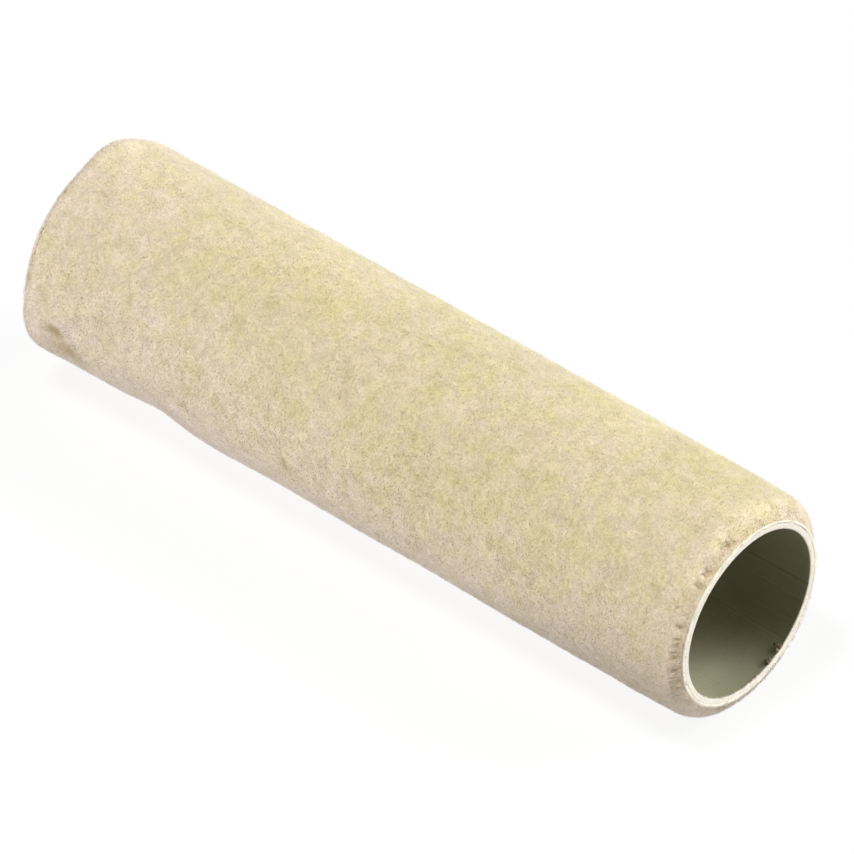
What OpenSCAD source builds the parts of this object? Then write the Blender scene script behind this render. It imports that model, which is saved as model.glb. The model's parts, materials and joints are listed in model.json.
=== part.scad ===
// Paint roller sleeve: a hard plastic core wrapped in pile fabric.
// The core lies along X with its bore centred on the origin, and +Z is up.

/* [Core] */
// Inside diameter of the core, which pushes onto the cage of a roller frame
bore_d = 48; // [30:1:60]
// Length of the core from one cut end to the other
core_len = 230; // [100:5:460]
// Wall thickness of the extruded core
core_wall = 1.5; // [1:0.1:3]
// Chamfer that deburring leaves on the inner and outer lip of each end
lip_chamfer = 0.2; // [0.1:0.05:0.4]

/* [Adhesive] */
// Thickness of the glue between the core and the backing
glue_t = 0.2; // [0.1:0.05:0.5]
// Bare core left without glue at each end
glue_inset = 0.1; // [0.1:0.1:5]

/* [Pile fabric] */
// Thickness of the backing cloth that holds the pile
backing_t = 0.8; // [0.4:0.1:2]
// How far the cut edge of the backing stays back from each end of the core
backing_inset = 0.1; // [0.1:0.1:6]
// Gap at the butt joint where the two long edges of the backing meet
joint_gap = 0.6; // [0.2:0.1:2]
// Turn of the butt joint about the X axis, counted from +Y
joint_angle = 35; // [0:5:355]
// Height of the pile above the backing
pile_h = 5.2; // [2:0.2:20]
// How far the foot of the pile stays back from each end of the core
pile_inset = 0.4; // [0.2:0.2:8]
// Length over which each end of the pile rounds off
pile_round = 5; // [1:0.5:15]

/* [Hidden] */

bore_r = bore_d / 2;
core_r = bore_r + core_wall;
glue_r = core_r + glue_t;
backing_r = glue_r + backing_t;
pile_r = backing_r + pile_h;

// Steps on each rounded shoulder of the pile
shoulder_steps = 12;
// Sides used to preview round parts
round_sides = 180;
// How far a cutting solid runs past the face it cuts
overrun = 1;

// Turns a shape that is modelled along Z so that it lies along X.
module lay_along_x() {
    rotate([0, 90, 0]) children();
}

// Plain ring between two radii, centred on the origin.
module ring(outer_r, inner_r, length) {
    difference() {
        cylinder(h = length, r = outer_r, center = true, $fn = round_sides);
        cylinder(h = length + 2 * overrun, r = inner_r, center = true, $fn = round_sides);
    }
}

// One quarter of the pile's outline, as [distance from the axis, distance from mid-length].
// The shoulder is a quarter of an ellipse, from its top at 90 degrees down to its foot at 0.
function shoulder(half_len) = [
    for (i = [0 : shoulder_steps])
        let (a = 90 * (1 - i / shoulder_steps))
        [backing_r + pile_h * sin(a), half_len - pile_round * (1 - cos(a))]
];

function flipped(points) = [
    for (i = [len(points) - 1 : -1 : 0]) [points[i][0], -points[i][1]]
];

// Extruded plastic tube, with a small chamfer on all four lips.
module core_tube() {
    half = core_len / 2;
    c = lip_chamfer;
    color([0.66, 0.67, 0.60])
        lay_along_x()
            rotate_extrude($fn = round_sides)
                polygon([
                    [bore_r, -half + c], [bore_r + c, -half],
                    [core_r - c, -half], [core_r, -half + c],
                    [core_r, half - c], [core_r - c, half],
                    [bore_r + c, half], [bore_r, half - c]
                ]);
}

// Thin layer of glue that fills the space between the core and the backing.
module adhesive_film() {
    color([0.78, 0.72, 0.55])
        lay_along_x()
            ring(glue_r, core_r, core_len - 2 * glue_inset);
}

// Backing cloth wrapped once round the core, open at its lengthwise butt joint.
module backing_cloth() {
    length = core_len - 2 * backing_inset;
    color([0.86, 0.82, 0.70])
        difference() {
            lay_along_x() ring(backing_r, glue_r, length);
            rotate([joint_angle, 0, 0])
                translate([0, backing_r, 0])
                    cube([length + 2 * overrun, bore_r, joint_gap], center = true);
        }
}

// The pile as one plain closed solid, rounded off at both ends.
module pile() {
    upper = shoulder(core_len / 2 - pile_inset);
    color([0.91, 0.87, 0.70])
        lay_along_x()
            rotate_extrude($fn = round_sides)
                polygon(concat(upper, flipped(upper)));
}

core_tube();
adhesive_film();
backing_cloth();
pile();
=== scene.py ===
"""A paint roller sleeve: a plastic core wrapped in short, dense, cream pile.

The pile is made of real geometry: a soft base that fills its depth, and many thousands of
tapered fibres, which stand on the base and reach the outline that the CAD gives the pile.
"""

import json
import math

import bpy
import numpy as np
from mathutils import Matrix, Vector


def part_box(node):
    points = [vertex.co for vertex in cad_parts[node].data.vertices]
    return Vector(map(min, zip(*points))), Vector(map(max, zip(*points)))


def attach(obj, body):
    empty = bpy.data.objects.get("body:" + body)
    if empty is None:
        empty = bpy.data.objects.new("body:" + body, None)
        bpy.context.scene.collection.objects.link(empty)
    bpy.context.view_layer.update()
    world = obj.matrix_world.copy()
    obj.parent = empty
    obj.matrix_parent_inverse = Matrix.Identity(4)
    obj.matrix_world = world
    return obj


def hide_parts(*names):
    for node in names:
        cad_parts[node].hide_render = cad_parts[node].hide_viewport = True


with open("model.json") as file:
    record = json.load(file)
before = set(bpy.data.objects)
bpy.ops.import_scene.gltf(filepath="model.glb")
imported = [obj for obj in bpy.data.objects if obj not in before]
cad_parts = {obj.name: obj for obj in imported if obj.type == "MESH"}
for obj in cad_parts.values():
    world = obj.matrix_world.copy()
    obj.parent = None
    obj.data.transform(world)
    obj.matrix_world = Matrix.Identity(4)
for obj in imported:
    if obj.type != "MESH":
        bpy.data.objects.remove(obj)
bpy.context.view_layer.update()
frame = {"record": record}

MM = 0.001
BODY = "root"


# ------------------------------------------------------------------ sizes from the frame

def half_length(node):
    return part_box(node)[1].x


def outer_radius(node):
    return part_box(node)[1].y


def bore_radius():
    mounts = {m["name"]: m for m in frame["record"]["mounts"]}
    return mounts["core_bore"]["dims"]["r_mm"] * MM


BORE_R = bore_radius()
CORE_R = outer_radius("core_tube")
CORE_HALF = half_length("core_tube")
GLUE_R = outer_radius("adhesive_film")
GLUE_HALF = half_length("adhesive_film")
BACKING_R = outer_radius("backing_cloth")
BACKING_HALF = half_length("backing_cloth")
PILE_R = outer_radius("pile")
PILE_HALF = half_length("pile")
PILE_H = PILE_R - BACKING_R

# The small chamfer round the tube's inner lips, and the hardly broken edge of its outer lips
LIP = 0.2 * MM
OUTER_LIP = 0.06 * MM
# Segments round the tube, and round the glue and the backing
CORE_SEGMENTS = 1040
LAYER_SEGMENTS = 720

# Where the backing's two edges meet, as a turn from the top, and the gap between them
JOINT_TURN = math.radians(55)
JOINT_GAP = 0.6 * MM

# Length over which each end of the pile rounds off, along the axis
SHOULDER = 5.0 * MM
# How far the base lies under the tips of the fibres
TIP_DEPTH = 0.62 * MM
# Spacing of the base's grid, and of the fibres
BASE_GRID = 0.72 * MM
FIBRE_SPACING = 0.31 * MM
# A fibre's modelled length and its width at the root
FIBRE_LONG = 1.25 * MM
FIBRE_WIDE = 0.22 * MM
# How far the fibres at each foot are brushed out over the cut edge of the backing
FOOT_REACH = 0.5 * MM
# How much of a fibre's shading follows the lie of the whole pile
SOFT_SHADING = 0.15
# The fibres go into this many pieces, as strips along the sleeve
FIBRE_PIECES = 12
# How many cut ends of thread stand out of the backing, at both ends together
FRAY_COUNT = 12000

# Seeds of the random draws
SEED_ROOTS = 5
SEED_FIBRES = 6
SEED_CONES = 9
SEED_SLIVERS = 12
SEED_FRAY = 14


# ------------------------------------------------------------------ smooth random fields

def smooth_field(points, size, seed):
    """Smooth noise from 0 to 1 at each point, with features of about the given size."""
    cells = 32
    lattice = np.random.default_rng(seed).random((cells, cells, cells))
    place = points / size + 1000.0
    corner = np.floor(place).astype(int)
    part = place - corner
    part = part * part * (3 - 2 * part)
    total = np.zeros(len(points))
    for dx in (0, 1):
        for dy in (0, 1):
            for dz in (0, 1):
                weight = (
                    np.abs(1 - dx - part[:, 0])
                    * np.abs(1 - dy - part[:, 1])
                    * np.abs(1 - dz - part[:, 2])
                )
                x, y, z = ((corner + (dx, dy, dz)) % cells).T
                total += weight * lattice[x, y, z]
    return total


def layered(points, size, seed, octaves=3):
    """Several sizes of smooth noise, from -1 to 1."""
    total = np.zeros(len(points))
    reach = 0.0
    for octave in range(octaves):
        share = 0.5 ** octave
        total += share * (2 * smooth_field(points, size * share, seed + octave) - 1)
        reach += share
    return total / reach


def round_noise(turn, radius, size, seed, octaves=2):
    """Noise from -1 to 1 that runs round a circle and closes on itself."""
    circle = np.stack([np.zeros_like(turn), radius * np.sin(turn), radius * np.cos(turn)], axis=-1)
    return layered(circle.reshape(-1, 3), size, seed, octaves).reshape(turn.shape)


def bump(value, middle, width):
    """A smooth hill, 1 at the middle and 0 a few widths away."""
    return np.exp(-(((value - middle) / width) ** 2))


def turn_apart(angle, other):
    """The angle between two turns about the axis, from -pi to pi."""
    return (angle - other + np.pi) % (2 * np.pi) - np.pi


def arc_window(turn, first, last, soft):
    """1 between two turns given in degrees, fading to 0 over soft degrees outside them."""
    middle, reach = math.radians((first + last) / 2), math.radians((last - first) / 2)
    outside = np.abs(turn_apart(turn, middle)) - reach
    return np.clip(1 - outside / math.radians(soft), 0, 1)


# ------------------------------------------------------------------ meshes from arrays

def ring_points(x, radius, turn):
    """Points at a place along X, a radius, and a turn from the top towards +Y."""
    return np.stack([x, radius * np.sin(turn), radius * np.cos(turn)], axis=-1)


def make_mesh(name, points, faces):
    """One smooth object from an array of points and a list of face arrays, each of one width."""
    mesh = bpy.data.meshes.new(name)
    corners = np.concatenate([f.ravel() for f in faces]).astype(np.int32)
    widths = np.concatenate([np.full(len(f), f.shape[1]) for f in faces])
    starts = np.concatenate([[0], np.cumsum(widths)[:-1]]).astype(np.int32)
    mesh.vertices.add(len(points))
    mesh.vertices.foreach_set("co", points.astype(np.float32).ravel())
    mesh.loops.add(len(corners))
    mesh.loops.foreach_set("vertex_index", corners)
    mesh.polygons.add(len(starts))
    mesh.polygons.foreach_set("loop_start", starts)
    mesh.update(calc_edges=True)
    mesh.polygons.foreach_set("use_smooth", np.full(len(starts), True))
    piece = bpy.data.objects.new(name, mesh)
    bpy.context.scene.collection.objects.link(piece)
    return piece


def set_values(piece, name, values):
    """Stores one number per point, for the material to read."""
    layer = piece.data.attributes.new(name, "FLOAT", "POINT")
    spread = np.broadcast_to(values, len(piece.data.vertices))
    layer.data.foreach_set("value", spread.astype(np.float32))


def grid_faces(rows, columns, closed_rows=False):
    """Quads of a grid that closes on itself around its columns, and along its rows if asked."""
    last = rows if closed_rows else rows - 1
    r, c = np.meshgrid(np.arange(last), np.arange(columns), indexing="ij")
    r2, c2 = (r + 1) % rows, (c + 1) % columns
    quads = np.stack(
        [r * columns + c, r * columns + c2, r2 * columns + c2, r2 * columns + c], axis=-1
    )
    return quads.reshape(-1, 4)


def facing_out(points, quads):
    """The quads of a closed mesh, turned round if they face inward."""
    a, b, c, d = (points[quads[:, i]] for i in range(4))
    volume = np.einsum("ij,ij->", np.cross(b - a, c - a) + np.cross(c - a, d - a), a)
    return quads if volume > 0 else quads[:, ::-1]


def add_piece(piece, slot_name, material, *nodes):
    """Gives a piece its material and body, and hides any CAD nodes that it stands for; its slot
    name is not used.
    """
    piece.data.materials.append(material)
    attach(piece, BODY)
    if nodes:
        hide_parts(*nodes)
    return piece


# ------------------------------------------------------------------ fibres as closed cones

def across(line):
    """Two directions at right angles to each line and to each other."""
    helper = np.where(np.abs(line[:, :1]) < 0.8, [[1.0, 0, 0]], [[0, 1.0, 0]])
    side = np.cross(line, helper)
    side = side / np.linalg.norm(side, axis=1, keepdims=True)
    return side, np.cross(line, side)


def cone_points(root, tip, width, spin):
    """Four points for each fibre: three round its root, and its tip."""
    line = tip - root
    line = line / np.linalg.norm(line, axis=1, keepdims=True)
    side, other = across(line)
    ring = []
    for corner in range(3):
        a = spin + corner * 2 * np.pi / 3
        out = np.cos(a)[:, None] * side + np.sin(a)[:, None] * other
        ring.append(root + out * (width / 2)[:, None])
    return np.stack([*ring, tip], axis=1)


# The faces of one fibre, and how far along it each of its points is
CONE_FACES = np.array([[0, 2, 1], [0, 1, 3], [1, 2, 3], [2, 0, 3]])
CONE_TIP = np.array([0.0, 0.0, 0.0, 1.0])


def cone_piece(name, points):
    """One object of many separate cones, with how far along its cone each point is."""
    first = 4 * np.arange(len(points))[:, None, None]
    piece = make_mesh(name, points.reshape(-1, 3), [(first + CONE_FACES).reshape(-1, 3)])
    set_values(piece, "tip", np.tile(CONE_TIP, len(points)))
    return piece


# ------------------------------------------------------------------ the plastic core

# Scores along the bore, left by the die: (turn in degrees, depth, width)
SCORES = (
    (102, 0.22 * MM, 0.2 * MM),
    (105.5, 0.10 * MM, 0.15 * MM),
    (115, 0.14 * MM, 0.18 * MM),
    (128, 0.03 * MM, 0.2 * MM),
    (141, 0.03 * MM, 0.2 * MM),
    (236, 0.05 * MM, 0.16 * MM),
    (301, 0.04 * MM, 0.16 * MM),
)
# Slivers of plastic that the saw left on the right lip, as turn in degrees, length, width,
# thickness, and how much painted shade darkens it. The first four are burrs that curl into the
# bore.
SLIVERS = (
    (146, 1.3 * MM, 1.3 * MM, 0.5 * MM, 1.0),
    (149.5, 0.9 * MM, 0.9 * MM, 0.4 * MM, 0.85),
    (157, 0.7 * MM, 0.8 * MM, 0.4 * MM, 0.85),
    (159, 1.1 * MM, 1.0 * MM, 0.5 * MM, 1.0),
    (8, 0.55 * MM, 0.3 * MM, 0.1 * MM, 0.0),
    (298, 0.5 * MM, 0.3 * MM, 0.1 * MM, 0.0),
    (171, 0.45 * MM, 0.5 * MM, 0.1 * MM, 0.0),
)
# The stretch of that lip, in degrees, where the saw broke out and left it ragged
RAGGED = (174, 232)


def core_section():
    """x, radius and how far it is a cut surface, for each row round the tube's section."""
    straight = CORE_HALF - LIP
    from_end = np.concatenate([[0], np.geomspace(0.15 * MM, straight, 26)])
    bore_x = np.concatenate([(from_end - straight)[:-1], (straight - from_end)[::-1]])
    face_r = np.linspace(BORE_R + LIP, CORE_R - OUTER_LIP, 7)
    outer_in = np.concatenate([[OUTER_LIP], np.geomspace(0.5 * MM, CORE_HALF, 12)])
    outer_x = np.concatenate([CORE_HALF - outer_in, (outer_in - CORE_HALF)[::-1][1:]])
    x = np.concatenate([bore_x, np.full(7, CORE_HALF), outer_x, np.full(7, -CORE_HALF)])
    radius = np.concatenate(
        [np.full(len(bore_x), BORE_R), face_r, np.full(len(outer_x), CORE_R), face_r[::-1]]
    )
    cut = (np.abs(x) > straight - 0.01 * MM).astype(float)
    cut[(radius == BORE_R) & (cut > 0)] = 0.6
    return x, radius, cut


def core_shape():
    """The tube's points, row by row, with its scores, saw marks and nicked lips."""
    x, radius, cut = core_section()
    turn = np.linspace(0, 2 * np.pi, CORE_SEGMENTS, endpoint=False)
    x, turn_grid = np.meshgrid(x, turn, indexing="ij")
    radius = np.repeat(radius[:, None], CORE_SEGMENTS, axis=1)
    side = np.sign(x)
    near_end = np.clip(1 - (CORE_HALF - np.abs(x)) / (2.5 * MM), 0, 1) ** 2
    inner = radius < BORE_R + 0.01 * MM
    lip = inner & (near_end > 0.8)
    for which in (-1, 1):
        here = side == which
        wave = 0.07 * MM * round_noise(turn, CORE_R, 14 * MM, 70 + which)
        wave += 0.025 * MM * round_noise(turn, CORE_R, 1.3 * MM, 75 + which)
        x += here * near_end * which * (wave - 0.06 * MM)
        nick = np.clip(round_noise(turn, CORE_R, 0.55 * MM, 80 + which, 3) - 0.18, 0, 1)
        torn = arc_window(turn, *RAGGED, 4) if which > 0 else arc_window(turn, 20, 50, 5)
        depth = (0.28 + 0.9 * torn) * nick * MM
        radius += here * lip * depth
        x -= here * lip * which * 0.6 * depth
    for degrees, depth, width in SCORES:
        away = turn_apart(turn_grid, math.radians(degrees)) * BORE_R
        radius += inner * depth * bump(away, 0, width)
    radius += inner * 0.05 * MM * round_noise(turn_grid, BORE_R, 9 * MM, 90)
    return ring_points(x, radius, turn_grid), np.repeat(cut, CORE_SEGMENTS)


def sliver(degrees, length, width, thick, rng):
    """A bent leaf of plastic that stands from the lip into the bore, as a closed strip."""
    steps = 7
    along = np.linspace(0, 1, steps)
    turn = math.radians(degrees)
    inward = np.array([0, -math.sin(turn), -math.cos(turn)])
    round_ = np.array([0, math.cos(turn), -math.sin(turn)])
    out = np.array([1.0, 0, 0])
    root = np.array([CORE_HALF - 0.1 * MM - thick / 2, 0, 0]) - inward * (BORE_R + 0.12 * MM)
    curl = rng.uniform(-1.2, -0.5)
    sway = rng.uniform(-0.3, 0.3)
    bend = (along ** 2)[:, None]
    middle = root + length * (along[:, None] * inward + curl * bend * out + sway * bend * round_)
    taper = 0.75 if thick < 0.2 * MM else 0.45
    half = width / 2 * (1 - taper * along ** 2) * (1 + 0.2 * rng.normal(size=steps) * along)
    corners = []
    for s, d in ((-1, -1), (1, -1), (1, 1), (-1, 1)):
        corners.append(middle + s * half[:, None] * round_ + d * thick / 2 * out)
    points = np.stack(corners, axis=1).reshape(-1, 3)
    quads = grid_faces(steps, 4)
    end = (steps - 1) * 4
    caps = np.array([[3, 2, 1, 0], [end, end + 1, end + 2, end + 3]])
    return points, facing_out(points, np.concatenate([quads, caps]))


def core_slivers():
    """The slivers, and the small teeth along the ragged stretch."""
    rng = np.random.default_rng(SEED_SLIVERS)
    for degrees, length, width, thick, painted_burr_shade in SLIVERS:
        yield *sliver(degrees, length, width, thick, rng), painted_burr_shade
    for degrees in np.linspace(RAGGED[0], RAGGED[1], 34) + rng.normal(0, 0.8, 34):
        length, width = rng.uniform(0.15, 0.55) * MM, rng.uniform(0.15, 0.5) * MM
        yield *sliver(degrees, length, width, 0.1 * MM, rng), 0.0


def core_tube():
    """The tube with its slivers, how far each point is a cut surface, and how much painted shade
    darkens it.
    """
    points, cut = core_shape()
    rows = points.shape[0]
    flat = points.reshape(-1, 3)
    parts, cuts, painted_burr_shades = [flat], [cut], [np.zeros(len(flat))]
    quads = [facing_out(flat, grid_faces(rows, CORE_SEGMENTS, closed_rows=True))]
    count = len(flat)
    for more, faces, painted_burr_shade in core_slivers():
        quads.append(faces + count)
        parts.append(more)
        cuts.append(np.full(len(more), 0.85))
        painted_burr_shades.append(np.full(len(more), painted_burr_shade))
        count += len(more)
    piece = make_mesh("core_tube_sawn", np.concatenate(parts), quads)
    set_values(piece, "cut", np.concatenate(cuts))
    set_values(piece, "painted_burr_shade", np.concatenate(painted_burr_shades))
    return piece


# ------------------------------------------------------------------ glue and backing

def glue_film():
    """The glue between core and backing, with a lumpy bead squeezed out at each end."""
    turn = np.linspace(0, 2 * np.pi, LAYER_SEGMENTS, endpoint=False)
    inner_r, rest_r = CORE_R + 0.005 * MM, GLUE_R - 0.01 * MM
    rows_x, rows_r = [], []
    for side in (1, -1):
        bead = 0.5 + 0.5 * round_noise(turn, CORE_R, 2.2 * MM, 100 + side, 3)
        reach = GLUE_HALF + 0.06 * MM * bead
        height = 0.12 * MM + 0.20 * MM * bead ** 2
        edge_x, edge_r = [], []
        for out, up in ((0.0, 0.0), (0.0, 0.45), (-0.25, 0.85), (-0.6, 1.0)):
            edge_x.append(side * (reach + out * height))
            edge_r.append(inner_r + up * height)
        edge_x.append(np.full_like(turn, side * (BACKING_HALF - 0.4 * MM)))
        edge_r.append(np.full_like(turn, rest_r))
        rows_x += edge_x if side > 0 else edge_x[::-1]
        rows_r += edge_r if side > 0 else edge_r[::-1]
    x, radius = np.stack(rows_x), np.stack(rows_r)
    points = ring_points(x, radius, np.broadcast_to(turn, x.shape)).reshape(-1, 3)
    quads = facing_out(points, grid_faces(len(x), LAYER_SEGMENTS, closed_rows=True))
    return make_mesh("glue_film", points, [quads])


def backing_cloth():
    """The cloth that carries the pile: wrapped round once, its two edges almost meeting."""
    half_gap = JOINT_GAP / 2 / BACKING_R
    turn = np.linspace(JOINT_TURN + half_gap, JOINT_TURN + 2 * np.pi - half_gap, LAYER_SEGMENTS)
    outer, inner = BACKING_R - 0.02 * MM, GLUE_R + 0.01 * MM
    stations = np.concatenate([[0], np.geomspace(0.3 * MM, BACKING_HALF, 24)])
    x_rows = np.concatenate([(stations - BACKING_HALF)[:-1], (BACKING_HALF - stations)[::-1]])
    loop_turn = np.concatenate([turn, turn[::-1]])
    loop_r = np.concatenate([np.full(LAYER_SEGMENTS, outer), np.full(LAYER_SEGMENTS, inner)])
    x, turns = np.meshgrid(x_rows, loop_turn, indexing="ij")
    frayed = np.clip(1 - (BACKING_HALF - np.abs(x)) / (1.5 * MM), 0, 1)
    x = x + np.sign(x) * frayed * 0.16 * MM * round_noise(turns, BACKING_R, 0.9 * MM, 110)
    radius = np.broadcast_to(loop_r, x.shape) - 0.05 * MM * frayed * (
        1 + round_noise(turns, BACKING_R, 0.7 * MM, 113)
    ) * (loop_r > GLUE_R + 0.1 * MM)
    points = ring_points(x, radius, turns).reshape(-1, 3)
    loop = len(loop_turn)
    quads = grid_faces(len(x_rows), loop)
    i = np.arange(LAYER_SEGMENTS - 1)
    cap = np.stack([i, i + 1, loop - 2 - i, loop - 1 - i], axis=1)
    last = (len(x_rows) - 1) * loop
    quads = facing_out(points, np.concatenate([quads, cap[:, ::-1], cap + last]))
    return make_mesh("backing_cloth_wrap", points, [quads])


def backing_fray():
    """Cut ends of thread that stand out of both ends of the backing."""
    rng = np.random.default_rng(SEED_FRAY)
    count = FRAY_COUNT
    turn = rng.uniform(0, 2 * np.pi, count)
    radius = rng.uniform(GLUE_R + 0.05 * MM, BACKING_R, count)
    side = np.where(np.arange(count) % 2, 1.0, -1.0)
    root = ring_points(side * (BACKING_HALF - 0.2 * MM), radius, turn)
    out_x = side * rng.uniform(0.2, 0.4, count) * MM
    out = ring_points(out_x, rng.uniform(-0.05, 0.3, count) * MM, turn)
    round_ = np.stack([np.zeros(count), np.cos(turn), -np.sin(turn)], axis=1)
    tip = root + out + round_ * rng.normal(0, 0.2 * MM, count)[:, None]
    width = rng.uniform(0.10, 0.18, count) * MM
    return cone_piece("backing_fray", cone_points(root, tip, width, rng.uniform(0, 6.28, count)))


# ------------------------------------------------------------------ the pile's outline

def outline_length():
    """Length of the pile's outline from one foot over the top to the other."""
    return 2 * SHOULDER_ARC + 2 * (PILE_HALF - SHOULDER)


def shoulder_table(steps=400):
    """Angle on the shoulder's ellipse against the distance run from its foot."""
    a = np.linspace(0, np.pi / 2, steps)
    run = np.hypot(SHOULDER * np.sin(a), PILE_H * np.cos(a))
    far = np.concatenate([[0], np.cumsum((run[1:] + run[:-1]) / 2 * np.diff(a))])
    return a, far


SHOULDER_ANGLE, SHOULDER_RUN = shoulder_table()
SHOULDER_ARC = SHOULDER_RUN[-1]


def outline(run):
    """Place and outward direction on the outline at a distance from the left foot.

    Returns x, radius, and the two parts of the normal, along x and outward.
    """
    total = outline_length()
    mirrored = run > total / 2
    near = np.where(mirrored, total - run, run)
    angle = np.interp(near, SHOULDER_RUN, SHOULDER_ANGLE)
    on_top = near > SHOULDER_ARC
    x = -PILE_HALF + SHOULDER * (1 - np.cos(angle))
    x = np.where(on_top, -PILE_HALF + SHOULDER + near - SHOULDER_ARC, x)
    radius = BACKING_R + PILE_H * np.sin(angle)
    along = -np.cos(angle) / SHOULDER
    out = np.sin(angle) / PILE_H
    size = np.hypot(along, out)
    side = np.where(mirrored, -1.0, 1.0)
    return side * x, radius, side * along / size, out / size


def on_surface(run, turn):
    """Points on the smooth outline, and their outward normals."""
    x, radius, along, out = outline(run)
    points = ring_points(x, radius, turn)
    normals = np.stack([along, out * np.sin(turn), out * np.cos(turn)], axis=1)
    return points, normals


# Dents where the pile has been pressed or parted: (x as a share of the half length,
# turn from the top in degrees, reach along the axis, reach around, depth)
DENTS = (
    (-0.885, -100, 2.6 * MM, 2.1 * MM, 1.3 * MM),
    (-0.86, -112, 5.0 * MM, 5.0 * MM, 1.0 * MM),
    (-0.47, -100, 0.8 * MM, 2.2 * MM, 0.9 * MM),
    (-0.16, -101, 1.0 * MM, 2.6 * MM, 0.8 * MM),
    (-0.06, -97, 0.6 * MM, 2.0 * MM, 0.5 * MM),
    (0.035, -89, 1.0 * MM, 2.0 * MM, 0.7 * MM),
    (0.11, -84, 0.8 * MM, 1.6 * MM, 0.5 * MM),
    (0.19, -69, 1.6 * MM, 1.0 * MM, 0.4 * MM),
    (0.59, -86, 1.0 * MM, 1.8 * MM, 0.5 * MM),
)
# Soft swellings and flats, in the same form, with a negative depth for a swelling
SWELLS = (
    (-1.00, 12, 7 * MM, 8 * MM, -1.5 * MM),
    (-1.00, -55, 6 * MM, 18 * MM, 0.9 * MM),
    (-0.96, -112, 12 * MM, 9 * MM, -1.3 * MM),
    (-0.84, -87, 2.5 * MM, 2.5 * MM, -0.6 * MM),
    (-0.62, -125, 9 * MM, 12 * MM, 1.0 * MM),
    (-0.42, -128, 12 * MM, 12 * MM, -0.5 * MM),
    (0.99, 85, 8 * MM, 16 * MM, 1.6 * MM),
    (0.97, -125, 9 * MM, 12 * MM, 0.4 * MM),
)
# Creases: (start as share and degrees, end as share and degrees, width, depth)
CREASES = (
    (0.025, -58, -0.05, -40, 0.7 * MM, 0.20 * MM),
    (-0.05, -40, -0.085, -20, 0.8 * MM, 0.12 * MM),
    (-0.36, -52, -0.40, -30, 0.7 * MM, 0.10 * MM),
    (-0.02, -16, -0.10, -2, 0.7 * MM, 0.10 * MM),
)
# Where the pile parts at its right foot and shows its depth, as turns in degrees
PARTINGS = ((248, 266), (268, 281), (285, 294), (318, 325), (343, 350), (140, 146), (190, 200))


def hollows(points, turn):
    """How deeply the pile is pressed in at each point, and how much of that is a sharp parting."""
    x = points[:, 0]
    soft = np.zeros(len(x))
    sharp = np.zeros(len(x))
    for share, degrees, long, around, deep in DENTS:
        away = turn_apart(turn, math.radians(degrees)) * PILE_R
        sharp += deep * bump(x, share * PILE_HALF, long) * bump(away, 0, around)
    for share, degrees, long, around, deep in SWELLS:
        away = turn_apart(turn, math.radians(degrees)) * PILE_R
        soft += deep * bump(x, share * PILE_HALF, long) * bump(away, 0, around)
    for share_a, deg_a, share_b, deg_b, width, deep in CREASES:
        start = np.array([share_a * PILE_HALF, math.radians(deg_a) * PILE_R])
        line = np.array([share_b * PILE_HALF, math.radians(deg_b) * PILE_R]) - start
        flat = np.stack([x, turn_apart(turn, 0) * PILE_R], axis=1)
        flat[:, 0] += 0.8 * MM * layered(points, 6 * MM, 130, 2)
        along = np.clip((flat - start) @ line / (line @ line), 0, 1)
        away = np.linalg.norm(flat - start - along[:, None] * line, axis=1)
        sharp += deep * bump(away, 0, width)
    return soft, sharp


def foot_partings(run, turn):
    """Short gaps between tufts close to each foot, from 0 to 1."""
    total = outline_length()
    near = np.minimum(run, total - run)
    streak = np.clip(3.0 * round_noise(turn, PILE_R, 0.7 * MM, 140, 2), 0, 1)
    band = bump(near, 2.2 * MM, 1.4 * MM)
    open_ = 0.10 * np.ones_like(turn)
    for first, last in PARTINGS:
        open_ += arc_window(turn, first, last, 4)
    return streak * band * np.clip(open_, 0, 1)


def relief(run, points, turn):
    """How far the pile stands above its plain outline, and how much painted shade darkens its
    dents, creases and partings, from 0 to 1.
    """
    soft, sharp = hollows(points, turn)
    gaps = foot_partings(run, turn)
    rise = 0.28 * MM * layered(points, 24 * MM, 11, 2)
    rise += 0.09 * MM * layered(points, 6 * MM, 21, 2)
    rise -= soft + sharp + 0.8 * MM * gaps
    return rise, np.clip(0.8 * sharp / MM + gaps, 0, 1)


def paleness_and_painted_light(run, points, turn):
    """How much paler and less yellow the pile is: at both ends and in a patch near the left foot,
    and as painted light to the left and underneath.
    """
    total = outline_length()
    near = np.minimum(run, total - run)
    rim = bump(near, 3 * MM, 5 * MM)
    patch = bump(points[:, 0], -0.83 * PILE_HALF, 3.0 * MM) * bump(
        turn_apart(turn, math.radians(-94)) * PILE_R, 0, 2.4 * MM
    )
    # painted light: paler towards the left end and on the underside, as if more light fell there
    left = np.clip((-points[:, 0] / PILE_HALF - 0.2) / 0.8, 0, 1)
    under = np.clip((-np.cos(turn) + 0.25) / 0.6, 0, 1)
    return 0.5 * rim + 1.2 * patch + 0.5 * left + 0.5 * under


# ------------------------------------------------------------------ the pile

def dress_pile(piece, run, points, turn, painted_hollow_shade, own, repeat):
    """Stores what the pile's material reads, with each value repeated for a fibre's points."""
    set_values(piece, "painted_hollow_shade", np.repeat(painted_hollow_shade, repeat))
    set_values(piece, "pale_and_painted_light", np.repeat(paleness_and_painted_light(run, points, turn), repeat))
    set_values(piece, "own", np.repeat(own, repeat))


def padded(values, spare):
    """The values, with a zero for each of the spare points that follow."""
    return np.concatenate([values, np.zeros(spare)])


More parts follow.
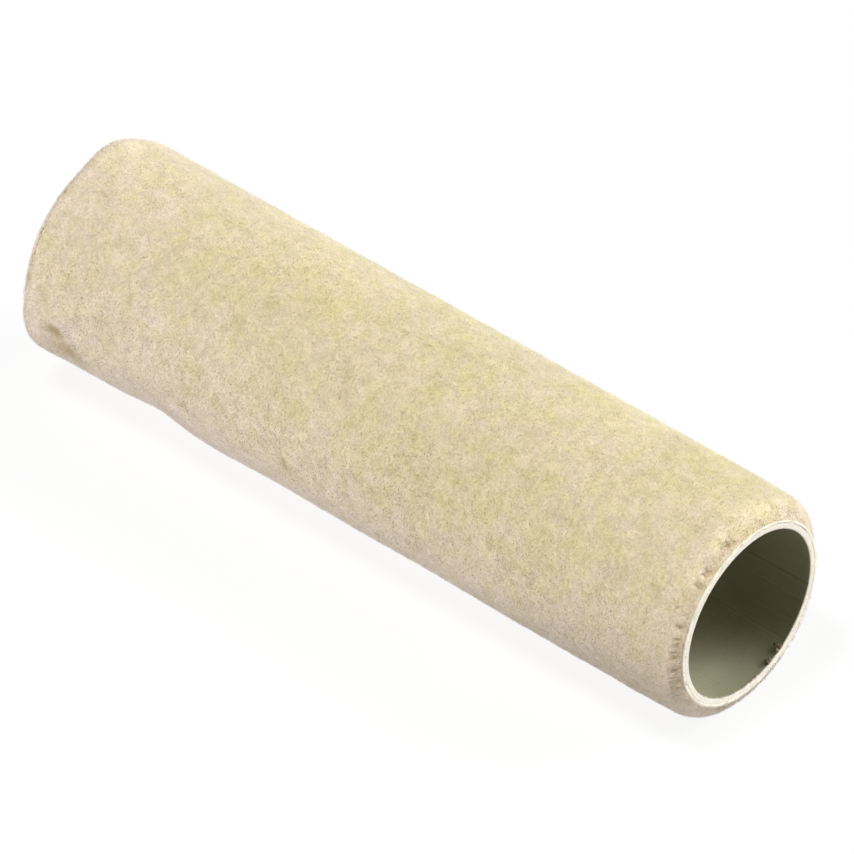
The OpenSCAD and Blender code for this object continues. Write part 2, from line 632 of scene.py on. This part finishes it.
def pile_base():
    """The soft depth of the pile: a lumpy closed ring that the fibres stand on."""
    total = outline_length()
    rows = int(total / BASE_GRID)
    columns = int(2 * np.pi * PILE_R / BASE_GRID)
    around = 2 * np.pi * np.arange(columns) / columns
    run, turn = np.meshgrid(np.linspace(0, total, rows), around, indexing="ij")
    run, turn = run.ravel(), turn.ravel()
    places, normals = on_surface(run, turn)
    fade = np.clip(np.minimum(run, total - run) / (3 * MM), 0, 1)
    rise, painted_hollow_shade = relief(run, places, turn)
    rise += 0.10 * MM * layered(places, 1.6 * MM, 31, 2)
    depth = np.minimum(TIP_DEPTH, 0.7 * np.minimum(run, total - run))
    points = places + normals * (rise * fade - depth)[:, None]
    foot_r = BACKING_R + 0.02 * MM
    radius = np.maximum(np.hypot(points[:, 1], points[:, 2]), foot_r)
    points = ring_points(points[:, 0], radius, turn)
    inner_x = np.linspace(points[-1, 0], points[0, 0], 12)[1:-1]
    inner = ring_points(np.repeat(inner_x, columns), foot_r, np.tile(around, len(inner_x)))
    points = np.concatenate([points, inner])
    quads = facing_out(points, grid_faces(rows + len(inner_x), columns, closed_rows=True))
    piece = make_mesh("pile_base", points, [quads])
    spare = len(inner)
    set_values(piece, "painted_hollow_shade", padded(painted_hollow_shade, spare))
    set_values(piece, "pale_and_painted_light", padded(paleness_and_painted_light(run, places, turn), spare))
    set_values(piece, "own", 0.5)
    # painted shade: the base takes three quarters of the root darkening
    set_values(piece, "tip", 0.25)
    return piece


def fibre_roots():
    """Where the fibres stand, as a jittered grid of distance along and turn about."""
    total = outline_length()
    rng = np.random.default_rng(SEED_ROOTS)
    rows = int(total / FIBRE_SPACING)
    runs, turns = [], []
    for row in range(rows):
        middle = (row + 0.5) / rows * total
        radius = float(outline(np.array([middle]))[1][0])
        count = int(2 * np.pi * radius / FIBRE_SPACING)
        turns.append((np.arange(count) + rng.random(count)) / count * 2 * np.pi)
        run = middle + (rng.random(count) - 0.5) * 1.6 * total / rows
        runs.append(np.clip(run, 0.02 * MM, total - 0.02 * MM))
    return np.concatenate(runs), np.concatenate(turns)


def fibre_lines(run, turn):
    """The root and tip of every fibre, its width, its painted hollow shade and the way the pile
    lies there.

    The fibres grow straight out from the core, so at each end they lie along the shoulder.
    """
    rng = np.random.default_rng(SEED_FIBRES)
    count = len(run)
    places, normals = on_surface(run, turn)
    straight_out = ring_points(np.zeros(count), 1.0, turn)
    stand = 0.35 * normals + 0.65 * straight_out
    stand /= np.linalg.norm(stand, axis=1, keepdims=True)
    around = np.stack([np.zeros(count), np.cos(turn), -np.sin(turn)], axis=1)
    along = np.cross(around, stand)
    heading = 1.4 + 1.3 * layered(places, 30 * MM, 41, 2)
    heading += 1.5 * layered(places, 4 * MM, 44, 2) + rng.normal(0, 0.9, count)
    lean = np.cos(heading)[:, None] * along + np.sin(heading)[:, None] * around
    tilt = 0.44 + 0.08 * layered(places, 7 * MM, 47, 2) + rng.normal(0, 0.16, count)
    tilt = np.clip(tilt, 0.05, 0.9)
    rise, painted_hollow_shade = relief(run, places, turn)
    clump = smooth_field(places, 1.2 * MM, 51)
    own_rise = 0.22 * MM * (clump - 0.5) + rng.normal(0, 0.10 * MM, count)
    near = np.minimum(run, outline_length() - run)
    fade = np.clip(near / (3 * MM), 0.25, 1)
    brushed = FOOT_REACH * bump(near, 0, 1.2 * MM) * rng.uniform(0.2, 1.0, count)
    tip = places + normals * (rise * fade + own_rise + brushed)[:, None]
    direction = stand * np.cos(tilt)[:, None] + lean * np.sin(tilt)[:, None]
    length = FIBRE_LONG * rng.uniform(0.8, 1.15, count)
    root = tip - direction * length[:, None]
    width = FIBRE_WIDE * rng.uniform(0.65, 1.25, count)
    return root, tip, width, painted_hollow_shade, places, stand


def soften_shading(piece, normals):
    """Turns each fibre's shading part of the way to the lie of the pile it stands in."""
    count = len(piece.data.vertices)
    own = np.empty(count * 3, np.float32)
    piece.data.vertex_normals.foreach_get("vector", own)
    mixed = (1 - SOFT_SHADING) * own.reshape(-1, 3) + SOFT_SHADING * normals
    mixed /= np.linalg.norm(mixed, axis=1, keepdims=True)
    piece.data.normals_split_custom_set_from_vertices(mixed)


def pile_fibres():
    """The fibres, as several pieces side by side round the sleeve."""
    run, turn = fibre_roots()
    root, tip, width, painted_hollow_shade, places, stand = fibre_lines(run, turn)
    rng = np.random.default_rng(SEED_CONES)
    points = cone_points(root, tip, width, rng.uniform(0, 2 * np.pi, len(run)))
    own = rng.random(len(run))
    strip = (turn / (2 * np.pi) * FIBRE_PIECES).astype(int) % FIBRE_PIECES
    for number in range(FIBRE_PIECES):
        mine = np.flatnonzero(strip == number)
        piece = cone_piece(f"pile_fibres_{number + 1:02d}", points[mine])
        dress_pile(piece, run[mine], places[mine], turn[mine], painted_hollow_shade[mine], own[mine], 4)
        soften_shading(piece, np.repeat(stand[mine], 4, axis=0))
        yield piece


# ------------------------------------------------------------------ materials

class Tree:
    """A new material with short ways to add the nodes used here."""

    def __init__(self, name):
        self.material = bpy.data.materials.new(name)
        self.material.use_nodes = True
        self.nodes = self.material.node_tree.nodes
        self.links = self.material.node_tree.links
        self.shader = self.nodes["Principled BSDF"]

    def feed(self, value, socket):
        """Links a node's output to a socket, or sets the socket to a plain value."""
        if isinstance(value, bpy.types.NodeSocket):
            self.links.new(value, socket)
        else:
            socket.default_value = value

    def set(self, **values):
        """Feeds inputs of the shader, which are named with _ for each space."""
        for name, value in values.items():
            self.feed(value, self.shader.inputs[name.replace("_", " ")])

    def where(self, scale=(1, 1, 1)):
        """The place on the object, in metres, stretched along each axis."""
        place = self.nodes.new("ShaderNodeTexCoord").outputs["Object"]
        mapping = self.nodes.new("ShaderNodeMapping")
        mapping.inputs["Scale"].default_value = scale
        self.links.new(place, mapping.inputs["Vector"])
        return mapping.outputs["Vector"]

    def axis(self, name):
        """One coordinate of the place on the object."""
        split = self.nodes.new("ShaderNodeSeparateXYZ")
        self.links.new(self.where(), split.inputs["Vector"])
        return split.outputs[name]

    def stored(self, name):
        """A number that set_values stored on the points."""
        attribute = self.nodes.new("ShaderNodeAttribute")
        attribute.attribute_name = name
        return attribute.outputs["Fac"]

    def noise(self, size, detail=3.0, stretch=(1, 1, 1)):
        """Noise about 0.5, with features of about the given size in metres."""
        node = self.nodes.new("ShaderNodeTexNoise")
        node.inputs["Scale"].default_value = 1 / size
        node.inputs["Detail"].default_value = detail
        self.links.new(self.where(stretch), node.inputs["Vector"])
        return node.outputs["Fac"]

    def math(self, operation, *values):
        node = self.nodes.new("ShaderNodeMath")
        node.operation = operation
        for value, socket in zip(values, node.inputs):
            self.feed(value, socket)
        return node.outputs[0]

    def sum(self, first, *pairs):
        """first plus each value times its share, each taken about its middle."""
        total = first
        for value, share, middle in pairs:
            part = self.math("MULTIPLY", self.math("SUBTRACT", value, middle), share)
            total = self.math("ADD", total, part)
        return total

    def ramp(self, value, *stops):
        """A colour ramp with (position, linear colour) stops."""
        node = self.nodes.new("ShaderNodeValToRGB")
        elements = node.color_ramp.elements
        while len(elements) < len(stops):
            elements.new(0.5)
        for element, (position, colour) in zip(elements, stops):
            element.position = position
            element.color = (*colour, 1)
        self.feed(value, node.inputs["Fac"])
        return node.outputs["Color"]

    def mix(self, share, first, second, blend="MIX"):
        node = self.nodes.new("ShaderNodeMix")
        node.data_type = "RGBA"
        node.blend_type = blend
        self.feed(share, node.inputs[0])
        for value, socket in ((first, node.inputs[6]), (second, node.inputs[7])):
            self.feed(value if isinstance(value, bpy.types.NodeSocket) else (*value, 1), socket)
        return node.outputs[2]

    def bump(self, height, distance):
        node = self.nodes.new("ShaderNodeBump")
        node.inputs["Distance"].default_value = distance
        self.links.new(height, node.inputs["Height"])
        return node.outputs["Normal"]


def pile_material():
    """Cream fibre: mottled from pinkish white to yellow-green, with painted light that makes it
    yellower towards the top and paler to the left and underneath, and painted shade at the roots
    and in dents, creases and partings.
    """
    t = Tree("pile_fibre")
    warm = t.sum(
        0.54,
        (t.noise(26 * MM, 1), 0.5, 0.5),
        (t.noise(5 * MM, 1), 0.75, 0.5),
        (t.noise(2.2 * MM, 0), 0.3, 0.5),
        # painted light: yellower towards the top, pinker towards the bottom
        (t.axis("Z"), 0.20 / PILE_R, 0.0),
        # paler ends and patch, with painted light to the left and underneath
        (t.stored("pale_and_painted_light"), -0.35, 0.0),
    )
    colour = t.ramp(
        warm,
        (0.10, (0.99, 0.885, 0.80)),
        (0.35, (0.975, 0.872, 0.735)),
        (0.55, (0.94, 0.846, 0.650)),
        (0.75, (0.915, 0.834, 0.570)),
        (0.95, (0.88, 0.810, 0.485)),
    )
    own = t.mix(t.math("MULTIPLY", t.stored("own"), 0.22), colour, (0.52, 0.48, 0.41))
    # painted shade: each fibre darker towards its root
    root = t.mix(t.math("SUBTRACT", 1.0, t.stored("tip")), own, (0.90, 0.875, 0.82), "MULTIPLY")
    speckle = t.sum(
        t.noise(0.6 * MM, 1),
        (t.noise(1.5 * MM, 1), 0.6, 0.5),
        (t.noise(4 * MM, 1), 0.45, 0.5),
    )
    grain = t.ramp(speckle, (0.25, (0.78, 0.765, 0.725)), (0.75, (1.0, 1.0, 1.0)))
    grainy = t.mix(1.0, root, grain, "MULTIPLY")
    # painted shade: olive-brown in dents, creases and the partings at the feet
    deep = t.mix(t.math("MULTIPLY", t.stored("painted_hollow_shade"), 0.75), grainy, (0.46, 0.34, 0.15))
    t.set(Base_Color=deep, Roughness=0.9, Specular_IOR_Level=0.15)
    t.set(Sheen_Weight=0.15, Sheen_Roughness=0.5, Sheen_Tint=(1.0, 0.97, 0.9, 1))
    return t.material


def core_material():
    """Olive-grey plastic with fine lines along it, paler where it was sawn, with its burrs painted
    dark brown as painted shade.
    """
    t = Tree("core_plastic")
    lines = t.noise(0.5 * MM, 2, (0.02, 1, 1))
    cloud = t.noise(12 * MM, 3)
    plain = t.ramp(
        t.sum(0.5, (lines, 0.35, 0.5), (cloud, 0.8, 0.5)),
        (0.2, (0.357, 0.339, 0.229)),
        (0.5, (0.414, 0.394, 0.273)),
        (0.8, (0.47, 0.450, 0.318)),
    )
    saw = t.noise(0.35 * MM, 3, (1, 0.35, 1))
    sawn = t.ramp(saw, (0.3, (0.70, 0.64, 0.54)), (0.6, (0.84, 0.79, 0.70)))
    specks = t.math("GREATER_THAN", t.noise(0.9 * MM, 2), 0.70)
    colour = t.mix(t.stored("cut"), plain, sawn)
    colour = t.mix(t.math("MULTIPLY", specks, 0.35), colour, (0.20, 0.17, 0.10))
    # painted shade: the burrs curling into the bore are turned dark brown
    colour = t.mix(t.stored("painted_burr_shade"), colour, (0.15, 0.11, 0.06))
    rough = t.math("ADD", 0.38, t.math("MULTIPLY", t.math("ADD", t.stored("cut"), cloud), 0.25))
    height = t.sum(0.5, (lines, 0.5, 0.5), (saw, 0.9, 0.5))
    t.set(Base_Color=colour, Roughness=rough, Normal=t.bump(height, 0.04 * MM))
    t.set(Specular_IOR_Level=0.3)
    return t.material


def glue_material():
    """Pale amber glue, cloudy and a little glossy."""
    t = Tree("glue")
    cloud = t.noise(1.5 * MM, 3)
    colour = t.ramp(cloud, (0.3, (0.80, 0.74, 0.62)), (0.7, (0.92, 0.88, 0.80)))
    t.set(Base_Color=colour, Roughness=t.math("ADD", 0.2, t.math("MULTIPLY", cloud, 0.3)))
    t.set(Normal=t.bump(t.noise(0.6 * MM, 2), 0.05 * MM))
    return t.material


def backing_material():
    """Knitted backing, off-white, with fine ribs across the sleeve and fuzz."""
    t = Tree("backing_cloth")
    wales = t.nodes.new("ShaderNodeTexWave")
    wales.bands_direction = "X"
    wales.inputs["Scale"].default_value = 0.32 / MM
    wales.inputs["Distortion"].default_value = 1.5
    t.links.new(t.where(), wales.inputs["Vector"])
    fuzz = t.noise(0.4 * MM, 3)
    height = t.math("ADD", wales.outputs["Fac"], fuzz)
    colour = t.ramp(
        t.math("MULTIPLY", height, 0.5), (0.2, (0.87, 0.82, 0.71)), (0.7, (0.95, 0.91, 0.82))
    )
    t.set(Base_Color=colour, Roughness=0.9, Normal=t.bump(height, 0.08 * MM))
    return t.material


# How bright the floor looks, and the light that it casts on the left and on the right
FLOOR_SEEN = 0.88
FLOOR_CAST_LEFT = 1.05
FLOOR_CAST_RIGHT = 0.18
# Where along X the floor's light starts and stops fading
FADE_FROM = 0.2 * CORE_HALF
FADE_TO = 1.4 * CORE_HALF


def seen_or_cast(tree, seen, cast):
    """One strength where a surface is looked at, and another for the light that it casts."""
    looked_at = tree.nodes.new("ShaderNodeLightPath").outputs["Is Camera Ray"]
    cast_part = tree.math("MULTIPLY", cast, tree.math("SUBTRACT", 1.0, looked_at))
    return tree.math("ADD", cast_part, tree.math("MULTIPLY", looked_at, seen))


def floor_material():
    """White paper that glows as on a light table, so that shadows stay faint.

    The light that it casts fades towards the right, and is weak beyond the open bore.
    """
    t = Tree("floor_paper")
    t.set(Base_Color=(0.12, 0.12, 0.12, 1), Roughness=1.0, Specular_IOR_Level=0.0)
    fade = t.nodes.new("ShaderNodeMapRange")
    fade.interpolation_type = "SMOOTHSTEP"
    fade.inputs["From Min"].default_value = FADE_FROM
    fade.inputs["From Max"].default_value = FADE_TO
    fade.inputs["To Min"].default_value = FLOOR_CAST_LEFT
    fade.inputs["To Max"].default_value = FLOOR_CAST_RIGHT
    t.links.new(t.axis("X"), fade.inputs["Value"])
    t.set(Emission_Color=(1, 1, 1, 1))
    t.set(Emission_Strength=seen_or_cast(t, FLOOR_SEEN, fade.outputs["Result"]))
    return t.material


# ------------------------------------------------------------------ floor, light, camera

# The floor's side in metres, and its gap under the sleeve, which its tallest tufts fill
FLOOR_SIZE = 60
FLOOR_GAP = 0.3 * MM
# How bright the backdrop looks, and the light that it casts
BACKDROP_SEEN = 1.0
BACKDROP_CAST = 0.01
# Suns: name, direction that the light comes from, strength, angle in degrees, colour
SUNS = (
    ("back_right", (0.5, 0.66, 0.60), 2.25, 36, (1.0, 1.0, 0.98)),
    ("front", (-0.09, -0.98, 0.03), 1.75, 16, (1.0, 1.0, 1.0)),
    ("top", (-0.12, -0.30, 0.94), 2.1, 16, (1.0, 1.0, 1.0)),
    ("right_end", (0.97, 0.16, 0.15), 2.0, 16, (1.0, 1.0, 1.0)),
)
# The camera: turn from -Y towards +X, height, distance, lens and sensor, and what it looks at
VIEW_TURN = math.radians(41.8)
VIEW_HEIGHT = math.radians(39.6)
VIEW_DISTANCE = 2.0
LENS_MM = 322.6
SENSOR_MM = 36
LOOK_AT = (4.8 * MM, 0, 1.0 * MM)


def floor():
    """A large plain floor just under the sleeve."""
    bpy.ops.mesh.primitive_plane_add(size=FLOOR_SIZE, location=(0, 0, -PILE_R - FLOOR_GAP))
    plane = bpy.context.active_object
    plane.name = "floor"
    plane.data.materials.append(floor_material())


def sun(name, direction, strength, angle, colour):
    """A broad soft light that shines from the given direction."""
    light = bpy.data.lights.new(name, "SUN")
    light.energy = strength
    light.angle = math.radians(angle)
    light.color = colour
    lamp = bpy.data.objects.new(name, light)
    lamp.rotation_mode = "QUATERNION"
    lamp.rotation_quaternion = Vector(direction).to_track_quat("Z", "Y")
    bpy.context.scene.collection.objects.link(lamp)


def studio():
    """Four soft lights in a dim room with a white horizon.

    Front and top come a little from the left, so they stay out of the bore's open right end.
    """
    world = bpy.data.worlds.new("studio")
    bpy.context.scene.world = world
    world.use_nodes = True
    nodes, links = world.node_tree.nodes, world.node_tree.links
    background = nodes["Background"]
    background.inputs["Color"].default_value = (1, 1, 1, 1)
    path = nodes.new("ShaderNodeLightPath")
    level = nodes.new("ShaderNodeMapRange")
    level.inputs["To Min"].default_value = BACKDROP_CAST
    level.inputs["To Max"].default_value = BACKDROP_SEEN
    links.new(path.outputs["Is Camera Ray"], level.inputs["Value"])
    links.new(level.outputs["Result"], background.inputs["Strength"])
    for name, direction, strength, angle, colour in SUNS:
        sun(name, direction, strength, angle, colour)
    bpy.context.scene.view_settings.view_transform = "Standard"


def camera():
    """Seen from the front right and above, with a long lens."""
    back = Vector((
        math.sin(VIEW_TURN) * math.cos(VIEW_HEIGHT),
        -math.cos(VIEW_TURN) * math.cos(VIEW_HEIGHT),
        math.sin(VIEW_HEIGHT),
    ))
    data = bpy.data.cameras.new("camera")
    data.lens = LENS_MM
    data.sensor_width = SENSOR_MM
    eye = bpy.data.objects.new("camera", data)
    eye.location = Vector(LOOK_AT) + back * VIEW_DISTANCE
    eye.rotation_mode = "QUATERNION"
    eye.rotation_quaternion = back.to_track_quat("Z", "Y")
    bpy.context.scene.collection.objects.link(eye)
    bpy.context.scene.camera = eye


# ------------------------------------------------------------------ build


camera()

add_piece(core_tube(), "core_plastic", core_material(), "core_tube")
add_piece(glue_film(), "adhesive", glue_material(), "adhesive_film")

cloth = backing_material()
backing = add_piece(backing_cloth(), "backing", cloth, "backing_cloth")
fray = add_piece(backing_fray(), "backing", cloth)

fibre = pile_material()
pile = [add_piece(pile_base(), "pile", fibre, "pile")]
for tuft in pile_fibres():
    pile.append(add_piece(tuft, "pile", fibre))

floor()
studio()
